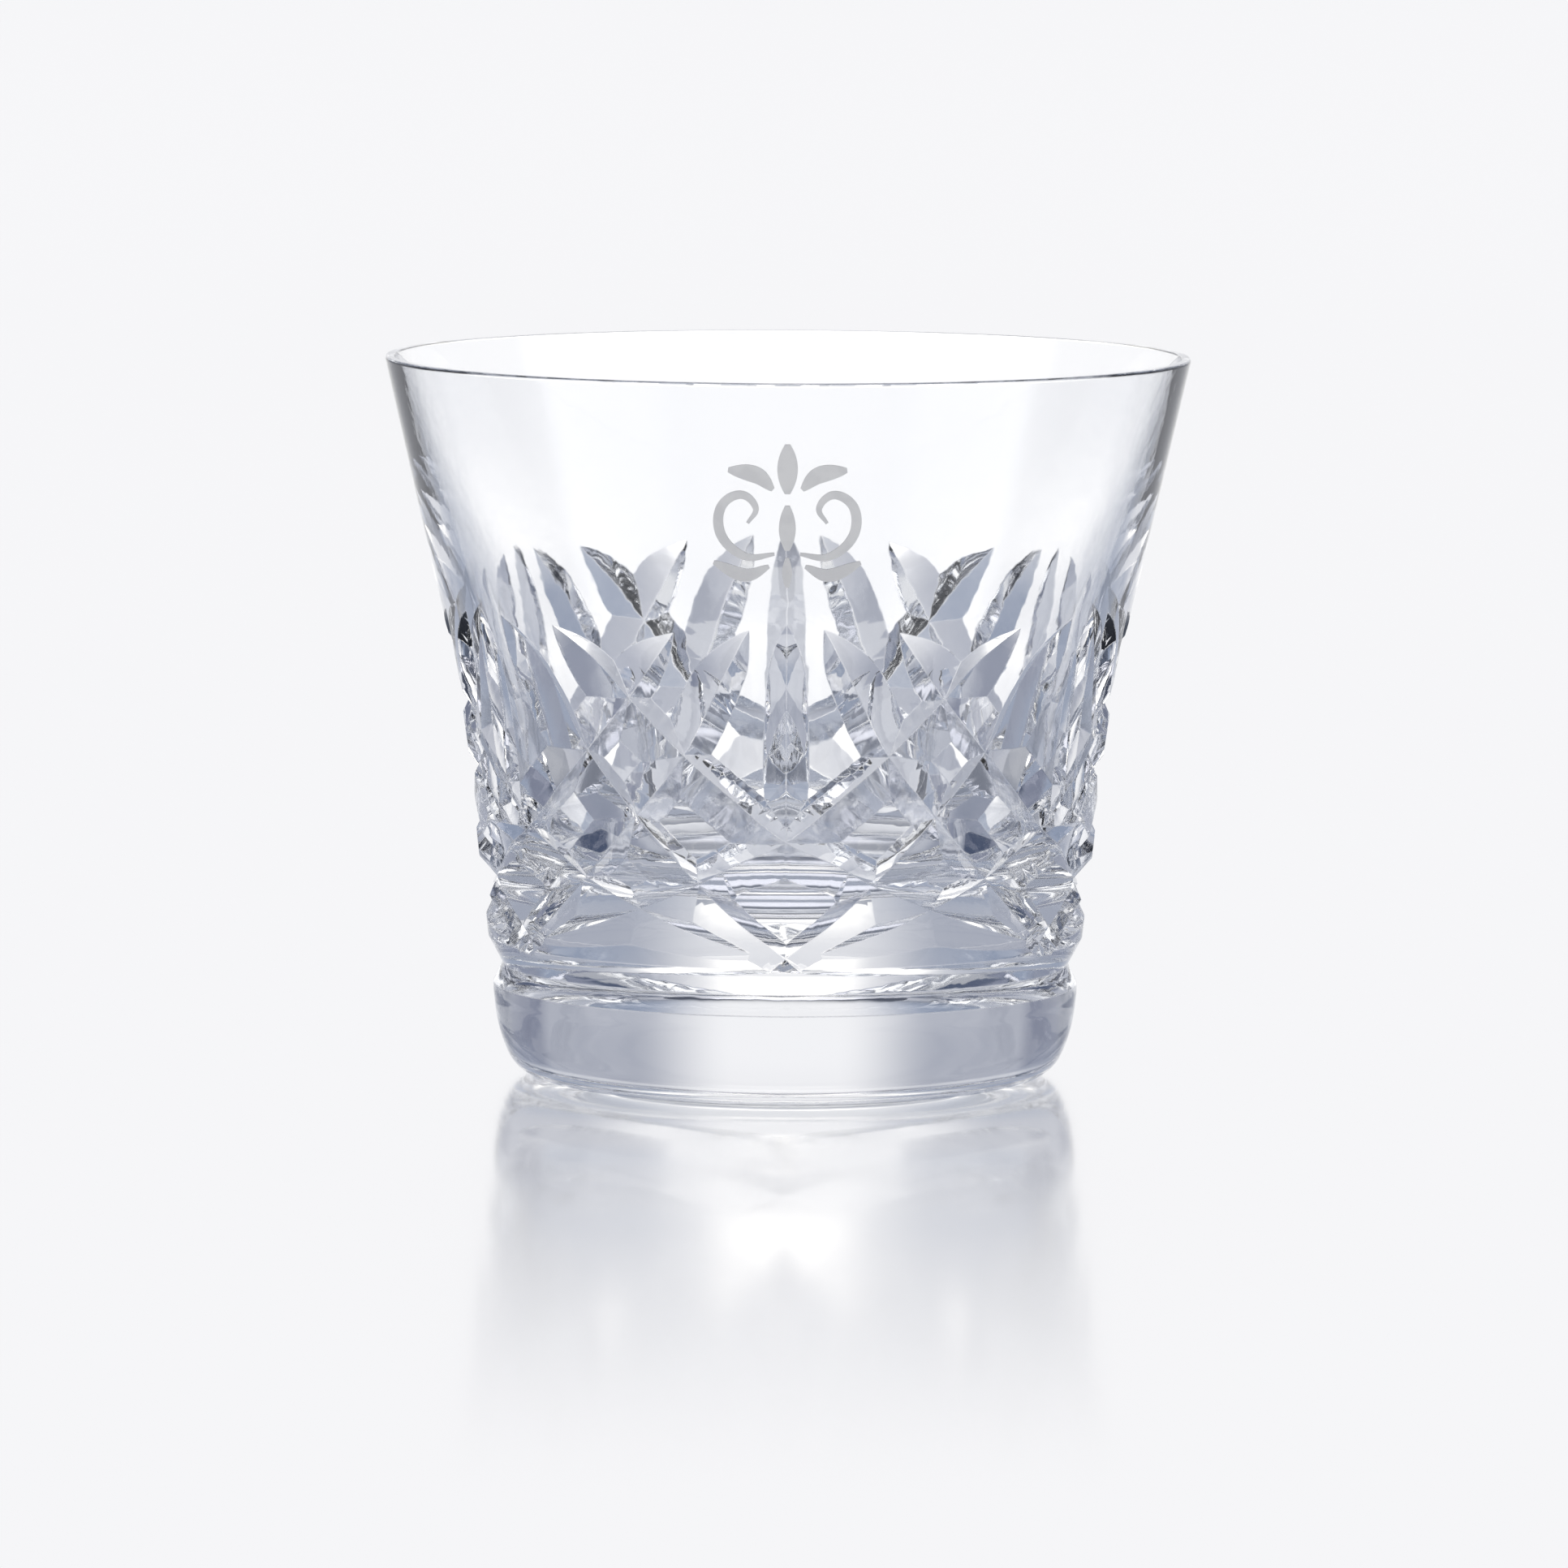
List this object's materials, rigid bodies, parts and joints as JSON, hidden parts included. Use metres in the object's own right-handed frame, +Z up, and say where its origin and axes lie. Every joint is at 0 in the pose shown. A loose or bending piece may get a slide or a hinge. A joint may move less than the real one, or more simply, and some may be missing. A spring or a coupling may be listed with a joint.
{
  "type": "whiskey tumbler",
  "caption": "Heavy-based cut-crystal whiskey tumbler: flared plain lip, band of crossed mitre cuts, waisted solid foot, grey enamel flourish.",
  "frame": {"origin": "middle of the resting ring, on the surface the tumbler stands on", "axes": "+Z up along the tumbler's axis, -Y towards the side with the enamel motif, +X to the right of a person facing that side"},
  "size_m": [0.092, 0.092, 0.0826],
  "materials": {
    "crystal": "polished clear crystal",
    "enamel": "satin grey fired enamel"
  },
  "bodies": {
    "root": {"tumbler_body": "crystal", "motif_bud": "enamel", "motif_drop": "enamel", "motif_tail": "enamel", "motif_scroll_left": "enamel", "motif_scroll_right": "enamel", "motif_leaf_high_left": "enamel", "motif_leaf_high_right": "enamel", "motif_leaf_low_left": "enamel", "motif_leaf_low_right": "enamel"}
  },
  "joints": []
}
